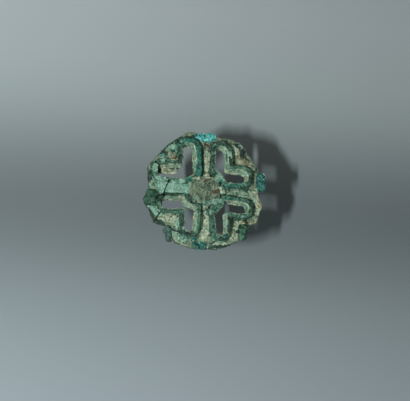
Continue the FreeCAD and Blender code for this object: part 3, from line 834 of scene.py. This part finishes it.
def dress(node, voxel, rounding, skin, kind, seed, near, lumps=()):
    """Replaces a node by a dense mesh of the same form with a corroded surface."""
    points, faces = solid_points[node]
    points = points.copy()
    if kind in ("wall", "boss", "crust"):
        points[points[:, 1] > PLATE_FACE_Y - 0.05, 1] += FOOT_DEPTH
    faces = list(faces)
    for number, (centre, radii) in enumerate(lumps):
        more, more_faces = pebble(np.array(centre), np.array(radii), number + 1)
        faces += [[index + len(points) for index in face] for face in more_faces]
        points = np.concatenate([points, more])
    obj = dense_mesh("dressed_" + node, points, faces, voxel)
    mesh = obj.data
    edges = get_edges(mesh)
    points = relaxed(get_points(mesh), edges, rounding)
    normals = get_normals(mesh, points)
    inside = np.zeros(len(points))
    if kind in ("wall", "plate"):
        inside = faces_itself(node, points, normals, OPENING_REACH)
    inside = spread_value(inside, edges, 2)
    gaps = gap_to(points, near, GAP_REACH)
    masks = surface_masks(kind, points, normals, inside)
    crust = sum(THICKNESS[mineral] * smooth_step(0.35, 0.65, masks[mineral]) for mineral in MINERALS)
    crust = crust - STAIN_DEPTH * smooth_step(0.3, 0.8, masks["stain"])
    points, pits = corroded(points, normals, gaps + 2 * inside, seed, crust, **skin)
    low = np.array(cad_box[0]) / MM
    high = np.array(cad_box[1]) / MM
    points = np.clip(points, low + BOX_MARGIN, high - BOX_MARGIN)
    normals = get_normals(mesh, points)
    bend = relaxed(points, edges, 1, 1.0) - points
    bend = spread_value((bend * normals).sum(1), edges, 1)
    # Painted shade, partly dark dirt too: darker where a piece meets its neighbours, in concave creases and
    # in pits
    contact_shade = np.exp(-(gaps / 0.35) ** 2) * 0.5 * (1 - 0.8 * inside)
    masks["hollow_dirt_and_shade"] = np.clip(contact_shade + smooth_step(0.0, 0.03, bend) * 0.65 + pits, 0, 1)
    for name, values in masks.items():
        store(mesh, name, values)
    mesh.vertices.foreach_set("co", (points * MM).astype(np.float32).ravel())
    mesh.update()
    mesh.polygons.foreach_set("use_smooth", np.ones(len(mesh.polygons), bool))
    mesh.materials.clear()
    mesh.materials.append(MATERIALS[SLOTS[node]])
    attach(obj, frame["nodes"][node]["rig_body"])
    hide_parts(node)


# How each kind of surface is corroded, in millimetres
LOOP_SKIN = {"swell": 0.12, "warts": 0.14, "pit_depth": 0.26, "grain": 0.10, "sink": 0.08}
PLATE_SKIN = {"swell": 0.20, "warts": 0.20, "pit_depth": 0.30, "grain": 0.16, "sink": 0.10}
WALL_SKIN = {"swell": 0.20, "warts": 0.24, "pit_depth": 0.34, "grain": 0.18, "sink": 0.18, "foot": 0.35}
BOSS_SKIN = {"swell": 0.16, "warts": 0.22, "pit_depth": 0.28, "grain": 0.22, "sink": 0.06, "cracks": 0.16}
CRUST_SKIN = {"swell": 0.14, "warts": 0.12, "pit_depth": 0.20, "grain": 0.10, "sink": -0.16, "foot": -0.45}
LUMP_SKIN = {"swell": 0.24, "warts": 0.32, "pit_depth": 0.30, "grain": 0.30, "sink": -0.02}
FLAT_SKIN = {"swell": 0.26, "warts": 0.26, "pit_depth": 0.30, "grain": 0.30, "sink": 0.05}
SOIL_SKIN = {"swell": 0.30, "warts": 0.24, "pit_depth": 0.30, "grain": 0.32, "sink": -0.02}
SEAM_SKIN = {"swell": 0.02, "warts": 0.02, "pit_depth": 0.04, "grain": 0.03, "sink": -0.12}

# Extra lumps: centre and radii, in millimetres
MASS_LUMPS = [
    ((-24.0, 2.9, -1.6), (1.2, 0.8, 1.0)), ((-21.6, 2.9, -2.6), (1.3, 0.8, 0.9)),
    ((-20.2, 2.9, -3.4), (0.9, 0.7, 1.1)), ((-20.8, 2.9, -5.2), (1.2, 0.7, 1.2)),
    ((-22.6, 2.8, -6.4), (1.4, 0.9, 1.0)), ((-23.2, 2.7, -3.9), (1.5, 1.2, 1.6)),
    ((-24.4, 3.2, -5.0), (1.0, 1.0, 1.2))]
BOSS_LUMPS = [
    ((5.6, 1.3, 5.6), (2.6, 1.2, 1.9)), ((5.0, 1.4, -4.9), (2.5, 1.2, 1.7)),
    ((-7.0, 1.4, 4.4), (2.2, 1.2, 1.9)), ((-6.4, 1.4, -4.4), (2.2, 1.2, 1.7)),
    ((0.8, 2.2, 5.9), (2.6, 1.2, 1.4)), ((-0.3, 2.2, -5.9), (2.2, 1.2, 1.4)),
    ((6.2, 1.5, 0.5), (2.3, 1.55, 2.7)), ((8.2, 2.7, 0.5), (2.6, 1.0, 1.3)),
    ((0.8, 2.4, 6.8), (1.6, 1.4, 2.2)), ((-0.2, 2.4, -6.8), (1.5, 1.4, 2.0))]
TOP_LUMPS = [
    ((-3.2, 3.0, 24.3), (1.2, 0.8, 0.8)), ((-0.8, 2.8, 24.6), (1.3, 0.9, 0.9)),
    ((1.2, 2.7, 24.0), (1.5, 1.0, 1.1)), ((3.0, 2.8, 24.3), (1.3, 0.9, 0.9)),
    ((4.3, 3.0, 24.6), (1.0, 0.8, 0.6)), ((1.6, 2.9, 22.9), (1.1, 0.6, 0.7))]
RIGHT_LUMPS = [
    ((24.6, 3.0, 7.6), (0.9, 0.8, 1.3)), ((25.4, 3.1, 5.0), (1.3, 0.9, 1.3)),
    ((24.4, 3.0, 3.4), (1.1, 0.7, 1.2)), ((25.9, 3.3, 2.4), (1.1, 0.9, 1.0)),
    ((26.2, 3.6, 7.0), (1.0, 0.9, 1.2))]
LOW_LEFT_LUMPS = [
    ((-15.2, 3.2, -17.2), (1.2, 0.8, 1.3)), ((-16.0, 3.4, -19.4), (1.1, 0.9, 1.3)),
    ((-14.8, 3.2, -19.8), (0.9, 0.6, 1.0)), ((-15.6, 3.4, -21.4), (0.9, 0.8, 0.9))]
LOW_RIGHT_LUMPS = [
    ((16.4, 3.0, -15.6), (1.4, 0.8, 1.0)), ((17.8, 3.3, -16.6), (1.2, 0.9, 1.2)),
    ((16.2, 3.1, -17.8), (1.0, 0.7, 1.1)), ((17.2, 3.4, -19.0), (1.0, 0.9, 1.0))]
LUMPS = {
    "corrosion_mass_left": MASS_LUMPS, "nodule_top": TOP_LUMPS, "nodule_right": RIGHT_LUMPS,
    "crust_lower_left": LOW_LEFT_LUMPS, "crust_lower_right": LOW_RIGHT_LUMPS}

coarser = 1.0

for node in PLATES:
    dress(node, voxel=0.25 * coarser, rounding=2, skin=PLATE_SKIN, kind="plate", seed=11,
          near=WALLS + ["central_boss"])
for node in WALLS:
    dress(node, voxel=0.2 * coarser, rounding=9, skin=WALL_SKIN, kind="wall", seed=31, near=PLATES)
dress("central_boss", voxel=0.2 * coarser, rounding=5, skin=BOSS_SKIN, kind="boss", seed=51,
      near=[], lumps=BOSS_LUMPS)
dress("carrying_loop", voxel=0.22 * coarser, rounding=4, skin=LOOP_SKIN, kind="loop", seed=61, near=PLATES)
for node, other in (("spoke_crust_inner", "spoke_crust_outer"), ("spoke_crust_outer", "spoke_crust_inner")):
    dress(node, voxel=0.2 * coarser, rounding=3, skin=CRUST_SKIN, kind="crust", seed=71, near=[other])
for node in ("corrosion_mass_left", "crust_lower_left", "crust_lower_right"):
    dress(node, voxel=0.18 * coarser, rounding=3, skin=LUMP_SKIN, kind="growth", seed=81,
          near=PLATES, lumps=LUMPS[node])
for node in ("nodule_top", "nodule_right", "nodule_bottom"):
    dress(node, voxel=0.18 * coarser, rounding=4, skin=FLAT_SKIN, kind="growth", seed=83,
          near=PLATES, lumps=LUMPS.get(node, ()))
for node in ("earth_plug", "soil_upper_right", "soil_upper_left"):
    dress(node, voxel=0.18 * coarser, rounding=4, skin=SOIL_SKIN, kind="soil", seed=91, near=PLATES)
for node in ("seam_spoke", "seam_lower_rim", "seam_upper_rim"):
    dress(node, voxel=0.12 * coarser, rounding=1, skin=SEAM_SKIN, kind="seam", seed=95, near=[])
